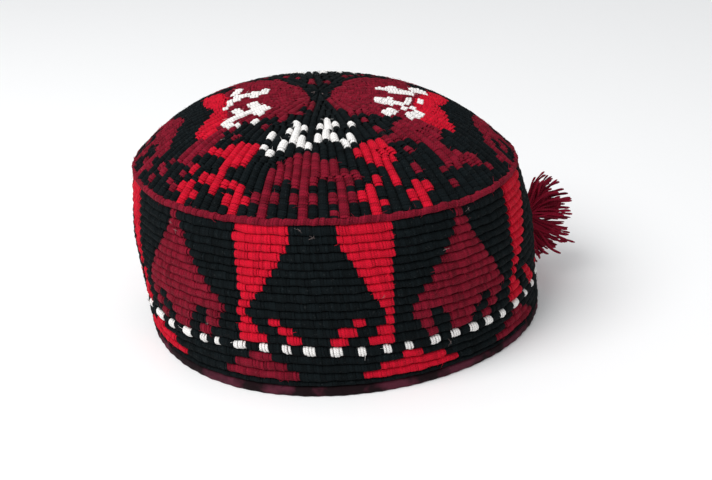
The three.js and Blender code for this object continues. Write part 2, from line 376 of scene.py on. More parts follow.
def yarn(name, dye, dust, uneven, dusty, sheen):
    settings = {"Dye": (*dye, 1), "Dust": (*dust, 1), "Uneven": uneven, "Dusty": dusty}
    tint = tuple(min(1.0, 0.3 + channel) for channel in dye)
    return new_material(name, yarn_group, settings, 0.00025, sheen, (*tint, 1))


BLACK, BRIGHT_RED, DARK_RED, WHITE = range(4)
yarns = [
    yarn("black_yarn", (0.0034, 0.0058, 0.0068), (0.10, 0.11, 0.11), 0.6, 0.10, 0.0),
    yarn("bright_red_yarn", (0.52, 0.0052, 0.022), (0.6, 0.06, 0.09), 0.32, 0.12, 0.04),
    yarn("dark_red_yarn", (0.172, 0.0054, 0.017), (0.34, 0.06, 0.08), 0.55, 0.20, 0.04),
    yarn("white_yarn", (0.84, 0.82, 0.80), (0.70, 0.65, 0.62), 0.10, 0.06, 0.05),
]
print("yarns:", ", ".join(material.name for material in yarns))

# %% [markdown]
# A mesh of many thousand strands is made from number arrays in one step. Adding strands one by
# one with operators would take minutes, and instances would not end up as real faces.

# %% Making a piece from arrays
def new_piece(name, points, quads, materials, replaced, values, kinds=None):
    """One mesh of quads that takes the place of a solid; values are kept on its points."""
    mesh = bpy.data.meshes.new(name)
    mesh.vertices.add(len(points))
    mesh.vertices.foreach_set("co", np.asarray(points, np.float32).ravel())
    mesh.loops.add(quads.size)
    mesh.loops.foreach_set("vertex_index", np.asarray(quads, np.int32).ravel())
    mesh.polygons.add(len(quads))
    mesh.polygons.foreach_set("loop_start", np.arange(0, quads.size, 4, dtype=np.int32))
    mesh.update(calc_edges=True)
    mesh.polygons.foreach_set("use_smooth", np.ones(len(quads), bool))
    for material in materials:
        mesh.materials.append(material)
    if kinds is not None:
        mesh.polygons.foreach_set("material_index", np.asarray(kinds, np.int32))
    for label, numbers in values.items():
        layer = mesh.attributes.new(label, "FLOAT", "POINT")
        layer.data.foreach_set("value", np.asarray(numbers, np.float32).ravel())
    mesh.validate()
    piece = bpy.data.objects.new(name, mesh)
    scene.collection.objects.link(piece)
    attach(piece, "root")
    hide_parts(replaced)


def grid_quads(rows, columns, close_rows=False, close_columns=False):
    """Quads of a grid of points that is stored row by row."""
    row = np.arange(rows if close_rows else rows - 1)[:, None]
    column = np.arange(columns if close_columns else columns - 1)[None, :]
    next_row = (row + 1) % rows
    next_column = (column + 1) % columns
    corners = [row * columns + column, row * columns + next_column,
               next_row * columns + next_column, next_row * columns + column]
    return np.stack(np.broadcast_arrays(*corners), -1).reshape(-1, 4)


# %% The shape of one strand
STRAND_PITCH = 0.00125
STRAND_WIDTH = 0.00156
WHITE_WIDTH = 0.00130
STRAND_PROFILE = np.array([-1.0, -0.5, 0.5, 1.0])
STRAND_STATIONS = np.array([-1.0, -0.84, -0.48, 0.0, 0.48, 0.84, 1.0])
ACROSS = STRAND_PROFILE[None, :, None]
ALONG = STRAND_STATIONS[None, None, :]
ON_EDGE = np.abs(ACROSS) == 1
RIB_DEPTH = 0.0019
RIB_PROUD = 0.0003
TIGHT_NARROW = 0.10
TIGHT_SINK = 0.0002
WIDTH_SPREAD = (0.94, 1.1)
HEIGHT_SPREAD = 0.00004

# How far the edges of a strand fall back, for each colour: the thick white yarn is roundest
EDGE_FALL = np.array([0.00009, 0.00009, 0.00010, 0.00045])
WHITE_PROUD = 0.00035

arch = RIB_DEPTH * (1 - np.sqrt(1 - 0.95 * STRAND_STATIONS ** 2)) - RIB_PROUD


def strand_insets(colours, proud):
    """How deep each point of each strand lies under the smooth surface."""
    edge = ON_EDGE * EDGE_FALL[colours][:, None, None]
    thick = np.where(colours == WHITE, WHITE_PROUD, 0)
    return arch[None, None, :] + edge - (proud + thick)[:, None, None]


def lumps(angle, seed, size):
    """Slow rises and falls along a cord, where the filling is thicker or thinner."""
    draw = np.random.default_rng(seed)
    total = np.zeros_like(angle)
    for times in (5, 11, 19, 31, 53, 83):
        total += draw.uniform(0.4, 1) * np.cos(times * angle + draw.uniform(0, 2 * math.pi))
    return size * total


def strand_quads(count, along):
    """Each strand or fibre is closed: four rows of points round it, and two ends."""
    body = grid_quads(4, along, close_rows=True)
    ends = [[k * along + tip for k in order]
            for tip, order in ((0, range(4)), (along - 1, range(3, -1, -1)))]
    one = np.concatenate([body, np.array(ends)])[:, ::-1]
    quads = one[None] + (np.arange(count) * 4 * along)[:, None, None]
    return quads.reshape(-1, 4), len(one)


def strand_values(points, profile, shades):
    """Where each point lies on its own strand, for the yarn's node group."""
    count, across, along, _ = points.shape
    length = np.linalg.norm(np.diff(points[:, 1], axis=1), axis=-1).cumsum(1)
    length = np.concatenate([np.zeros((count, 1)), length], 1)
    whole = (count, across, along)
    return {"across": np.broadcast_to(profile[None, :, None], whole).ravel(),
            "along": np.broadcast_to(length[:, None, :], whole).ravel(),
            "shade": np.broadcast_to(shades[:, None, None], whole).ravel()}


# %% Loose fibres, which make the yarn look soft
FIBRE_SHARES = np.array([0.22, 0.34, 0.60, 0.35])
FIBRE_RADIUS = 0.00007
FIBRE_STEPS = np.array([0.0, 0.5, 1.0])
# Loose fibres get a higher shade than their strand, so they are painted paler: a painted highlight of
# the light the fuzz catches
FIBRE_PAINTED_HIGHLIGHT = 2.2
FIBRE_LENGTHS = (0.0012, 0.0034)
FIBRE_LIFTS = (0.0001, 0.0006)
FIBRE_ARC = 2.4
FIBRE_SUNK = 0.0001
FIBRE_TAPER = 0.7


def unit_rows(vectors):
    return vectors / np.linalg.norm(vectors, axis=-1, keepdims=True)


def fibre_points(root, aim, outward, length, lift):
    """Four-sided hairs that rise from their roots, arch over and taper; n, 4, steps, 3."""
    step = FIBRE_STEPS[None, :, None]
    bow = lift[:, None, None] * np.sin(FIBRE_ARC * step) - FIBRE_SUNK * (1 - step)
    line = root[:, None] + aim[:, None] * length[:, None, None] * step + outward[:, None] * bow
    beside = np.cross(aim, outward)
    around = np.stack([outward, beside, -outward, -beside], 1)[:, :, None]
    return line[:, None] + around * (FIBRE_RADIUS * (1 - FIBRE_TAPER * step))[:, None]


def loose_fibres(points, colours, draw):
    """Fibres that stand off some of the strands: which strands, and their points."""
    chosen = np.flatnonzero(draw.uniform(0, 1, len(points)) < FIBRE_SHARES[colours])
    some = len(chosen)
    ridge = points[chosen][:, 1:3].mean(1)
    root = ridge[np.arange(some), draw.integers(1, len(STRAND_STATIONS) - 1, some)]
    along = unit_rows(ridge[:, -1] - ridge[:, 0])
    sidewards = unit_rows(points[chosen][:, -1, 3] - points[chosen][:, 0, 3])
    outward = unit_rows(np.cross(sidewards, along))
    turn = draw.uniform(0, 2 * math.pi, (some, 1))
    aim = unit_rows(np.cos(turn) * along + np.sin(turn) * np.cross(along, outward))
    length = draw.uniform(*FIBRE_LENGTHS, some)
    lift = draw.uniform(*FIBRE_LIFTS, some)
    return chosen, fibre_points(root, aim, outward, length, lift)


def add_strands(name, points, colours, shades, replaced):
    """points has the shape strands, across, along, 3; colours and shades one value a strand."""
    chosen, fibres = loose_fibres(points, colours, np.random.default_rng(list(name.encode())))
    strand_faces, strand_each = strand_quads(len(points), len(STRAND_STATIONS))
    fibre_faces, fibre_each = strand_quads(len(fibres), len(FIBRE_STEPS))
    body = strand_values(points, STRAND_PROFILE, shades)
    # The fibres' raised shade is a painted highlight
    hairs = strand_values(fibres, np.zeros(4), shades[chosen] + FIBRE_PAINTED_HIGHLIGHT)
    values = {label: np.concatenate([body[label], hairs[label]]) for label in body}
    every_point = np.concatenate([points.reshape(-1, 3), fibres.reshape(-1, 3)])
    quads = np.concatenate([strand_faces, fibre_faces + points[..., 0].size])
    used = sorted(set(colours.tolist()))
    place_in_list = np.array([used.index(c) if c in used else 0 for c in range(len(yarns))])
    kinds = place_in_list[colours]
    kinds = np.concatenate([np.repeat(kinds, strand_each), np.repeat(kinds[chosen], fibre_each)])
    new_piece(name, every_point, quads, [yarns[c] for c in used], replaced, values, kinds)


# %% [markdown]
# The side is nineteen cords laid one above the other. The pattern repeats four times round the
# cap: a black pointed field between two bright red wedges, a dark red tree with three legs, a
# row of white stitches, and low pyramids below it. The chart counts strands from the middle of
# a black field, as a maker counts stitches, so it stays a short table instead of a picture.

# %% Chart of the side
ROWS = 19
STRANDS_PER_REPEAT = 108
REPEATS = 4
STRANDS = STRANDS_PER_REPEAT * REPEATS
FIELD_MIDDLE = -5.9
FIELD_DRIFT = 1.9

# Heights of the seams between the cords, in millimetres, from the hem up
CORD_SEAMS = (4.2, 6.1, 9.7, 13.4, 16.7, 21.2, 25.4, 29.8, 33.6, 37.5,
              41.4, 45.1, 48.6, 52.1, 55.5, 58.8, 62.3, 65.8, 69.4, 73.7)

# The dotted row was sewn a little high or low in places: degrees and millimetres
DOTTED_WANDER = ((-120, 0), (-90, -0.6), (-60, -1.2), (-47, -0.9), (-40, -0.3), (-28, 0.5),
                 (-20, 0.9), (-10, 0.6), (0, -0.5), (6, -1.0), (18, -0.8), (27, -0.6),
                 (33, 0.1), (47, 0.2), (60, 0.7), (72, 1.2), (90, 1.1), (120, 0))

# Bright red wedges and steps by cord from the top: strands from the middle of the black field
BRIGHT_STRETCHES = {
    1: [(7.4, 27.3)], 2: [(7.9, 27.2)], 3: [(9.2, 27)], 4: [(10.8, 26.9)], 5: [(12.4, 26.7)],
    6: [(14, 26.4)], 7: [(15.5, 26)], 8: [(17.4, 25.8)], 9: [(19.3, 25.8)],
    10: [(21.3, 25.8)], 11: [(23.3, 26.4)], 12: [(22.6, 26.4), (11.9, 16)],
    13: [(19.5, 26.5), (7.4, 13)], 14: [(17.1, 26.3), (4.2, 9.9)],
}

# Dark red tree: strands from the tree's middle, first the crown or trunk and then the legs
TREE_STRETCHES = {
    1: [(0, 1.5)], 2: [(0, 3)], 3: [(0, 4.5)], 4: [(0, 6)], 5: [(0, 8)], 6: [(0, 10)],
    7: [(0, 12.3)], 8: [(0, 14.8)], 9: [(0, 17)], 10: [(0, 19.2)], 11: [(0, 21.5)],
    12: [(0, 9.3), (14, 20.2)], 13: [(0, 6.3), (12.8, 18.2)], 14: [(0, 4.6), (10.5, 15.2)],
}

# Low pyramids under the white stitches: left and right ends in strands, dark and bright red
PYRAMIDS = {16: ((-23.4, -16.8), (28.8, 37)), 17: ((-29.4, -11), (21, 46.6)),
            18: ((-34, -6.2), (14.6, 53))}

# White stitches as they were counted from the left to the right of the front, in degrees
WHITE_STITCHES = (
    (-63.5, -57), (-54, -50.8), (-47.5, -43), (-39.8, -37.3), (-35, -33), (-29, -24.8),
    (-21.5, -18.7), (-14.8, -12), (-9.5, -6.2), (-2.4, 1.4), (4.6, 7.3), (11.3, 14.6),
    (17.3, 20.3), (25, 28.3), (31.3, 35), (37.7, 41), (43.8, 47), (50.2, 53), (56.5, 60),
    (63.7, 66), (70.5, 73.5))
WHITE_MARGIN = 0.3
SEEN_MARGIN = 3
WHITE_SHORT = 0.10
WHITE_EVERY = 8
WHITE_LONG = 4


def inside(distance, stretches):
    return np.any([(distance >= a) & (distance <= b) for a, b in stretches], axis=0)


def side_colours(row, draw):
    """The yarn of each strand of a cord, counted from the top one."""
    strand = np.arange(STRANDS) + 0.5
    counted = strand + draw.uniform(-0.45, 0.45, STRANDS)
    from_middle = (counted + STRANDS_PER_REPEAT / 2) % STRANDS_PER_REPEAT - STRANDS_PER_REPEAT / 2
    from_field = np.abs(from_middle)
    from_tree = STRANDS_PER_REPEAT / 2 - from_field
    colours = np.full(STRANDS, BLACK)
    if row in BRIGHT_STRETCHES:
        colours[inside(from_tree, TREE_STRETCHES[row])] = DARK_RED
        colours[inside(from_field, BRIGHT_STRETCHES[row])] = BRIGHT_RED
    if row in PYRAMIDS:
        dark, bright = PYRAMIDS[row]
        colours[inside(from_middle, [dark])] = DARK_RED
        colours[inside(from_middle, [bright])] = BRIGHT_RED
    return colours


def strand_angle(count, share):
    """Angle in degrees of a place counted in strands; the lattice was sewn a little unevenly."""
    plain = count * 360 / STRANDS
    bend = 4 * (1 - share) * np.sin(np.radians(plain)) + 6 * np.sin(np.radians(plain)) ** 3
    return FIELD_MIDDLE + FIELD_DRIFT * share + plain - bend


def white_row_colours(share):
    """Stitches as counted where the photograph shows them, and a regular row round the back."""
    angle = signed(strand_angle(np.arange(STRANDS) + 0.5, share))
    first, last = WHITE_STITCHES[0][0] - SEEN_MARGIN, WHITE_STITCHES[-1][1] + SEEN_MARGIN
    seen = (angle > first) & (angle < last)
    regular = np.arange(STRANDS) % WHITE_EVERY < WHITE_LONG
    stitches = [(left + WHITE_MARGIN, right - WHITE_MARGIN) for left, right in WHITE_STITCHES]
    counted = inside(angle, stitches)
    return np.where(np.where(seen, counted, regular), WHITE, BLACK)


# %% Wrap the nineteen cords of the side
SLANT = 0.09
WHITE_ROW = 15
WANDER_TOP = 34.0
SEAM_UNEVEN = 0.00015
CORD_LUMPS = 0.00009


def seam_wander(angle, seam):
    """The seams aren't ruled lines: each rises and falls a little on its way round."""
    draw = np.random.default_rng(500 + seam)
    total = np.zeros_like(angle)
    for times in (3, 7, 13, 24, 41, 67):
        phase = draw.uniform(0, 2 * math.pi)
        total += draw.uniform(0.3, 1) * np.cos(times * angle + phase)
    dotted = (CORD_SEAMS[ROWS - WHITE_ROW] + CORD_SEAMS[ROWS - WHITE_ROW + 1]) / 2
    near = np.interp(CORD_SEAMS[seam], (CORD_SEAMS[0], dotted, WANDER_TOP), (0, 1, 0))
    at, lift = np.array(DOTTED_WANDER).T
    sewn = np.interp(np.degrees(angle), at, lift, period=360) * 0.001 * near
    return sewn + SEAM_UNEVEN * total * (1 if 0 < seam < ROWS else 0)


def side_cord(level, edges):
    """One wrapped cord; level 0 is the lowest. Returns the strands' points, colours and shades."""
    draw = np.random.default_rng(40 + level)
    row = ROWS - level
    share = (edges[level] + edges[level + 1]) / 2 / BAND_HEIGHT
    colours = white_row_colours(share) if row == WHITE_ROW else side_colours(row, draw)
    middles = np.arange(STRANDS) + 0.5 + draw.uniform(-0.12, 0.12, STRANDS)
    width = np.where(colours == WHITE, WHITE_WIDTH, STRAND_WIDTH)
    half = 0.5 * width / STRAND_PITCH * draw.uniform(*WIDTH_SPREAD, STRANDS)
    tight = (colours != np.roll(colours, 1)) | (colours != np.roll(colours, -1))
    count = middles[:, None, None] + half[:, None, None] * ACROSS
    angle = np.radians(strand_angle(count, share))
    low = edges[level] + seam_wander(angle, level)
    high = edges[level + 1] + seam_wander(angle, level + 1)
    shorter = TIGHT_NARROW * tight + WHITE_SHORT * (colours == WHITE)
    reach_up = (high - low) / 2 * (1 - shorter[:, None, None])
    height = (low + high) / 2 + reach_up * ALONG
    lean = SLANT * draw.uniform(0.6, 1.4, STRANDS)[:, None, None]
    angle = angle - lean * (high - low) / 2 * ALONG / HEM_RADIUS
    proud = draw.normal(0, HEIGHT_SPREAD, STRANDS) + lumps(np.radians(middles), 300 + level, CORD_LUMPS)
    proud = proud - TIGHT_SINK * tight
    inset = strand_insets(colours, proud)
    points = band_point(angle, height, inset)
    return points, colours, draw.uniform(0, 1, STRANDS)


side_edges = np.array(CORD_SEAMS) * 0.001
for level in range(ROWS):
    cord_points, cord_colours, cord_shades = side_cord(level, side_edges)
    add_strands(f"side_cord_{level + 1:02d}", cord_points, cord_colours, cord_shades,
                "side_band")
print("side:", ROWS, "cords,", ROWS * STRANDS, "strands")

# %% [markdown]
# Behind the strands lies the padded ground that they are sewn to. It closes the grooves, so no
# light comes through, and its near-black colour is partly painted shade where it shows between
# the strands. The photograph doesn't show the inside, so it is kept plain, with faint ribs where
# the cords run.

# %% Ground of the side and of the crown
GROUND_DEPTH = 0.0012
INNER_RIB = 0.0005
GROUND_COLUMNS = 240
SIDE_ROWS = 12
CROWN_ROWS = 40
CROWN_FIRST_SHARE = 0.004
CROWN_INNER_RIBS = 60
CROWN_INNER_RELIEF = 0.0002
ground_angles = np.linspace(0, 2 * math.pi, GROUND_COLUMNS, endpoint=False)
# Near-black ground colour: partly the plain inside cloth, partly painted shade in the grooves between
# strands
ground_yarn_and_groove_shade = yarn("ground_yarn_and_groove_shade", (0.010, 0.006, 0.008), (0.12, 0.10, 0.10), 0.5, 0.2, 0.05)


def add_skin(name, rows, material, replaced, values=None, turned_over=False):
    """A closed skin from rows of points that run round the cap; the last row meets the first."""
    columns = len(rows[0])
    quads = grid_quads(len(rows), columns, close_rows=True, close_columns=True)
    if turned_over:
        quads = quads[:, ::-1]
    if values is None:
        steps = np.arange(len(rows) * columns)
        values = {"across": np.sin(steps * 1.7), "along": steps % columns * STRAND_PITCH * 0.37,
                  "shade": np.full(len(steps), 0.5)}
    new_piece(name, np.concatenate(rows), quads, [material], replaced, values=values)


def add_side_ground():
    rows = [band_point(ground_angles, height, GROUND_DEPTH)
            for height in np.linspace(BAND_BASE, BAND_TOP, SIDE_ROWS)]
    for level in range(ROWS - 1, -1, -1):
        low, high = side_edges[level], side_edges[level + 1]
        for up_share, dip in ((1.0, INNER_RIB), (0.7, 0.0), (0.3, 0.0)):
            rows.append(band_point(ground_angles, low + (high - low) * up_share, BAND_THICKNESS - dip))
    rows.append(band_point(ground_angles, BAND_BASE, BAND_THICKNESS))
    add_skin("side_ground", rows, ground_yarn_and_groove_shade, "side_band")


add_side_ground()
print("side ground is closed")

# %% [markdown]
# A few pale hairs and bits of lint cling to any yarn cap that has been handled. Each tuft is a
# few fine crossing fibres laid over the strands.

# %% Pale lint on the side and the crown
LINT_ON_SIDE = ((-47.5, 0.068), (-45.5, 0.0655), (-7.5, 0.0725), (-4, 0.0695), (32, 0.0585),
                (41, 0.072), (31, 0.0165), (13, 0.0435), (-36, 0.027))
LINT_ON_CROWN = ((21, 0.05), (-60, 0.03), (-46, 0.67))
LINT_HAIRS = 3
LINT_LENGTHS = (0.0008, 0.0034)
LINT_LIFTS = (0.0002, 0.0005)


def lint_tuft(surface, degrees, where, draw):
    """Crossing hairs that lie on a surface round one place."""
    at, height = np.full(LINT_HAIRS, math.radians(degrees)), np.full(LINT_HAIRS, where)
    root = surface(at, height, -0.0005)
    outward = unit_rows(root - surface(at, height, 0.01))
    sidewards = unit_rows(surface(at + 0.01, height, 0) - surface(at - 0.01, height, 0))
    turn = draw.uniform(0, math.pi, (LINT_HAIRS, 1))
    aim = unit_rows(np.cos(turn) * sidewards + np.sin(turn) * np.cross(outward, sidewards))
    length = draw.uniform(*LINT_LENGTHS, LINT_HAIRS)
    start = root - aim * length[:, None] * draw.uniform(0.2, 0.8, (LINT_HAIRS, 1))
    return fibre_points(start, aim, outward, length, draw.uniform(*LINT_LIFTS, LINT_HAIRS))


def add_lint():
    draw = np.random.default_rng(5)
    lint = yarn("lint", (0.26, 0.20, 0.19), (0.5, 0.4, 0.4), 0.2, 0.1, 0.05)
    for name, places, surface, slot, replaced in (
            ("side_lint", LINT_ON_SIDE, band_point, "side_yarn", "side_band"),
            ("crown_lint", LINT_ON_CROWN, dome_point, "crown_yarn", "crown_top")):
        hairs = np.concatenate([lint_tuft(surface, *one, draw) for one in places])
        quads, _ = strand_quads(len(hairs), len(FIBRE_STEPS))
        values = strand_values(hairs, np.zeros(4), np.full(len(hairs), 0.5))
        new_piece(name, hairs.reshape(-1, 3), quads, [lint], replaced, values=values)


add_lint()
print("lint:", len(LINT_ON_SIDE) + len(LINT_ON_CROWN), "tufts")

# %% [markdown]
# The crown is worked outwards from the middle. Its ribs keep one width all the way, so new ribs
# have to start wherever old ones spread apart: fifteen near the middle become a hundred and
# twenty at the crease. The ribs stand in families of eight that share a sector, and each new rib
# pushes the others of its family a little aside, as it does under the needle.

# %% Ribs of the crown
CROWN_STRAND_PITCH = 0.00128
FAMILIES = 15
FAMILY_RIBS = 8
CROWN_RIBS = FAMILIES * FAMILY_RIBS
RIB_START_ANGLE = -8.1
RIB_DRIFT = 2.1
RIB_GROWTH = 0.03
RIB_START_WIDTH = 0.6
CROWN_MIDDLE = 0.014
RIM_OVERHANG = 0.0020

# Ribs of a family in the order in which they start, and the radius shares where they do
FIRST_STARTS = {0: (-1, -1), 4: (0.09, 0.18), 2: (0.19, 0.27), 6: (0.27, 0.37),
                5: (0.37, 0.48), 7: (0.48, 0.565), 1: (0.59, 0.73), 3: (0.71, 0.89)}
GOLDEN_SHARE = 0.618
LATE_STEP = 0.2


def rib_starts():
    """A table of families and their ribs; neighbours don't start new ribs at one radius."""
    table = np.zeros((FAMILIES, FAMILY_RIBS))
    for family in range(FAMILIES):
        turned = family > FAMILIES / 2
        for rib, (first, last) in FIRST_STARTS.items():
            late = (family * GOLDEN_SHARE + rib * LATE_STEP) % 1
            place_in_family = FAMILY_RIBS - 1 - rib if turned else rib
            table[family, place_in_family] = first + (last - first) * late
    return table


RIB_STARTS = rib_starts()


def rib_edges(share):
    """Every rib that crosses the ring at a share: its number and its edges in degrees."""
    grown = np.clip((share - RIB_STARTS) / RIB_GROWTH, 0, 1)
    wide = np.where(share >= RIB_STARTS, RIB_START_WIDTH + (1 - RIB_START_WIDTH) * grown, 0)
    edges = np.concatenate([np.zeros((FAMILIES, 1)), wide.cumsum(1)], 1)
    edges = (edges / edges[:, -1:] + np.arange(FAMILIES)[:, None]) * 360 / FAMILIES
    start = RIB_START_ANGLE + RIB_DRIFT * (1 - share)
    left = (start + edges[:, :-1]).ravel()
    right = (start + edges[:, 1:]).ravel()
    numbers = np.arange(CROWN_RIBS)
    real = wide.ravel() > 0
    return numbers[real], left[real], right[real]


share_steps = np.linspace(0, 1, 400)
dome_line = dome_point(np.zeros_like(share_steps), share_steps, 0.0)
dome_length = np.concatenate([[0], np.linalg.norm(np.diff(dome_line, axis=0), axis=1).cumsum()])
first_length = np.interp(CROWN_MIDDLE, share_steps, dome_length)
last_length = np.interp(CROWN_EDGE / CREASE_RADIUS, share_steps, dome_length) + RIM_OVERHANG
ring_lengths = np.arange(first_length, last_length - CROWN_STRAND_PITCH / 2, CROWN_STRAND_PITCH)
ring_shares = np.interp(ring_lengths, dome_length, share_steps)
print("crown:", len(ring_lengths), "rings of strands,", len(rib_edges(0.98)[0]), "ribs at the rim")

# %% [markdown]
# The crown's pattern has four fields: crosses of white stitches in a black field at the front
# and back, and in a dark red field at each side, with birds and combs of red running down to the
# crease. It is charted as it is counted, rib by rib: bars that lie on a rib, and fields whose
# edges step from rib to rib. The half that the photograph hides mirrors the front.

# %% Chart of the crown: stitches and bars as (left, right, from, to), degrees and radius shares
WHITE_FRONT = (
    (-15, -13.4, .43, .618), (-20.9, -16.8, .505, .55), (-12.5, -7.7, .472, .511),
    (-18.6, -15, .603, .676), (-11.8, -8, .566, .642), (-8, -4, .615, .655),
    (3.7, 5.3, .40, .585), (-2.5, 2.7, .45, .50), (7.9, 12.4, .438, .484),
    (-2.6, 1, .548, .62), (4.8, 9.4, .545, .624), (9, 12, .60, .655),
    (17, 22.2, .45, .50), (12.7, 17, .554, .63),
    (-28.2, -24.1, .548, .597), (-27, -23.8, .641, .676), (-23, -19.8, .678, .717))
WHITE_RIGHT = (
    (60, 70, .30, .36), (58, 70, .36, .43), (70, 80, .365, .40), (65, 70, .43, .465),
    (71, 83, .45, .49), (60, 66, .465, .50), (63, 68, .495, .53), (58.5, 65, .53, .585),
    (52, 58, .51, .57), (47.5, 53.5, .42, .48), (78, 85, .515, .55), (95, 108, .302, .36),
    (87, 108, .36, .43), (87, 99, .432, .50), (98, 107, .497, .545), (97, 104, .55, .59))
WHITE_LEFT = (
    (-109, -91, .27, .315), (-104, -83, .315, .372), (-99, -91, .37, .41),
    (-98, -83, .405, .46), (-111, -99, .445, .49), (-88, -80, .455, .485),
    (-80.5, -74, .482, .512), (-71, -61, .34, .39), (-60, -46, .32, .372),
    (-60, -45, .37, .43), (-62, -56, .43, .54), (-71, -60, .44, .49), (-60, -51, .546, .595),
    (-53, -48, .53, .565), (-46, -41, .46, .505))
DARK_COMB = (
    (-19.5, -18.5, .79, 1), (-7.2, -6, .68, 1), (4.8, 6.2, .76, 1),
    (-16.5, -15.5, .76, .86), (-11.5, -8.8, .69, .87), (-3.4, -2.2, .69, .86),
    (2, 3.4, .73, .85), (8.5, 10.6, .79, .87), (-4.2, -3, .90, .94), (-10.6, -9.6, .90, .94),
    (1.8, 3, .90, .94), (8, 9.2, .90, .94), (-16.2, -15, .90, .94), (-22.6, -21.6, .90, .94))
DARK_DASHES = (
    (12, 22, .17, .22), (23, 29, .33, .40), (25.8, 33.4, .435, .487), (29.2, 35, .533, .587),
    (30.4, 35.3, .624, .667), (-15, -6, .15, .27), (-21, -18, .31, .35),
    (-31.7, -26.2, .38, .44), (-37.8, -33.9, .484, .533), (-42.4, -38.1, .60, .64),
    (32.2, 35.9, .71, .75), (31.6, 35.6, .81, .855), (-27.5, -25.5, .962, .982),
    (-12, -10.8, .958, .974), (-5, -3.6, .958, .974), (.5, 1.8, .962, .98))
BRIGHT_BARS = (
    (21, 23.7, .79, .88), (17.3, 19.4, .837, .886), (13.4, 16.4, .865, .99),
    (10, 12.7, .90, .935), (15.8, 17.6, .94, .965), (23, 26.7, .85, .89),
    (27.3, 29.8, .877, .995), (24.9, 27.6, .915, .96), (30.4, 35, .90, .94),
    (13.6, 17.6, .667, .715), (-37.5, -33.6, .80, .855), (-44.5, -37.8, .84, .90),
    (-47, -43.3, .90, .99), (-50, -47.3, .905, .947), (-43.3, -41.5, .93, .96),
    (-37.5, -35, .855, .93), (-33.9, -30, .855, .90), (-29, -25.6, .868, .995),
    (-30.5, -29, .923, .96), (-25.6, -23.2, .916, .953), (-47.3, -43.3, .71, .75),
    (-49.5, -47, .82, .865))

# Fields as rows of (radius share, left, right), and bands as rows of (angle, from, to)
SIDE_FIELD_FRONT = ((.07, 62, 90), (.09, 35, 90), (.13, 20, 90), (.2, 17, 90), (.3, 22, 90),
                    (.4, 33, 90), (.48, 46, 90), (.54, 51, 90))
SIDE_FIELD_BACK = ((.07, 70, 90), (.10, 50, 90), (.15, 40, 90), (.2, 36, 90), (.3, 36, 90),
                   (.4, 38, 90), (.48, 46, 90), (.54, 51, 90))
COMB_ARCH = ((-20, .80, .82), (-17.5, .775, .83), (-15, .725, .81), (-10, .695, .86),
             (-7.5, .68, .87), (-5, .68, .84), (-2.5, .70, .83), (0, .72, .83), (2.5, .735, .85),
             (5, .755, .87), (7.5, .775, .87), (10, .795, .87), (12, .80, .84))
RIGHT_BIRD = ((.633, 19.4, 27.3), (.66, 17, 29), (.69, 14, 31), (.715, 14, 31), (.75, 17, 28.5),
              (.79, 18.8, 26.1))
LEFT_BIRD = ((.642, -36.9, -28.7), (.66, -39, -27), (.69, -40.9, -25.6), (.715, -40.9, -25.6),
             (.76, -40, -28), (.80, -39.3, -31))
RIGHT_PATCH = ((.54, 44, 58), (.58, 38, 57), (.66, 38, 57), (.72, 43, 56), (.74, 43, 52),
               (.80, 43, 52), (.88, 45, 58))
LEFT_PATCH = ((.54, -58, -47), (.62, -58, -50), (.72, -60, -50), (.85, -60, -51))
RIGHT_BAND = ((57, .60, .66), (61, .585, .74), (63, .57, .75), (65, .54, .75), (67, .53, .72),
              (70, .51, .69), (76, .50, .67), (80, .50, .63), (84, .50, .62), (88, .515, .65),
              (95, .54, .67), (100.4, .575, .70), (105.8, .60, .71), (110, .61, .67))
LEFT_BAND = ((-110, .56, .68), (-105, .53, .66), (-100, .50, .64), (-95, .49, .62),
             (-90, .485, .60), (-85, .48, .57), (-80, .50, .555), (-75, .50, .56), (-70, .50, .62),
             (-65, .52, .70), (-62, .53, .71), (-60, .60, .715), (-57, .62, .70))

# The comb stands at the front, left, right and back: how far it is turned and where its top is
COMB_TOP = .68
COMBS = ((0, .68), (-79, .72), (92, .79), (193, .70))

# Chequered ground between a comb and the feet of a bird: left, right, from, to
CHEQUERS = ((-64, -51, .84, .97), (37, 62, .86, .965), (118, 143, .86, .965), (-143, -116, .84, .97))
CHEQUER_STEP = 0.032
CHEQUER_STEPS = 9
CHEQUER_GAPS = 0.24
CHEQUER_LEFT_OUT = np.random.default_rng(8).uniform(0, 1, (CROWN_RIBS, CHEQUER_STEPS)) < CHEQUER_GAPS


# %% Look up the yarn of each strand of the crown
BACK_OUTSET = 0.06


def paint_bars(colours, ribs, share, bars, colour):
    """A bar takes every rib whose middle it covers, or else the one rib that it lies on."""
    for left, right, low, high in bars:
        numbers, rib_left, rib_right = rib_edges((low + high) / 2)
        off = np.abs(signed((rib_left + rib_right) / 2 - (left + right) / 2))
        taken = numbers[off <= max((right - left) / 2 * 0.92, off.min() + 1e-6)]
        at = np.isin(ribs, taken) & (share >= low) & (share <= high)
        colours[at] = colour


def mirrored(bars, outset=0.0):
    """The same bars at the back of the crown, moved outwards by an outset."""
    return [(180 - right, 180 - left, low + outset, high + outset) for left, right, low, high in bars]


def both_ends(bars):
    return list(bars) + mirrored(bars)


def paint_field(colours, angle, share, rows, colour):
    """A field whose left and right edges are given at a few radii."""
    at, left, right = np.array(rows).T
    within = (share >= at[0]) & (share <= at[-1])
    within &= (angle >= np.interp(share, at, left)) & (angle <= np.interp(share, at, right))
    colours[within] = colour


def paint_band(colours, angle, share, rows, colour):
    """A band round the cap whose inner and outer edges are given at a few angles."""
    at, low, high = np.array(rows).T
    within = (angle >= at[0]) & (angle <= at[-1])
    within &= (share >= np.interp(angle, at, low)) & (share <= np.interp(angle, at, high))
    colours[within] = colour


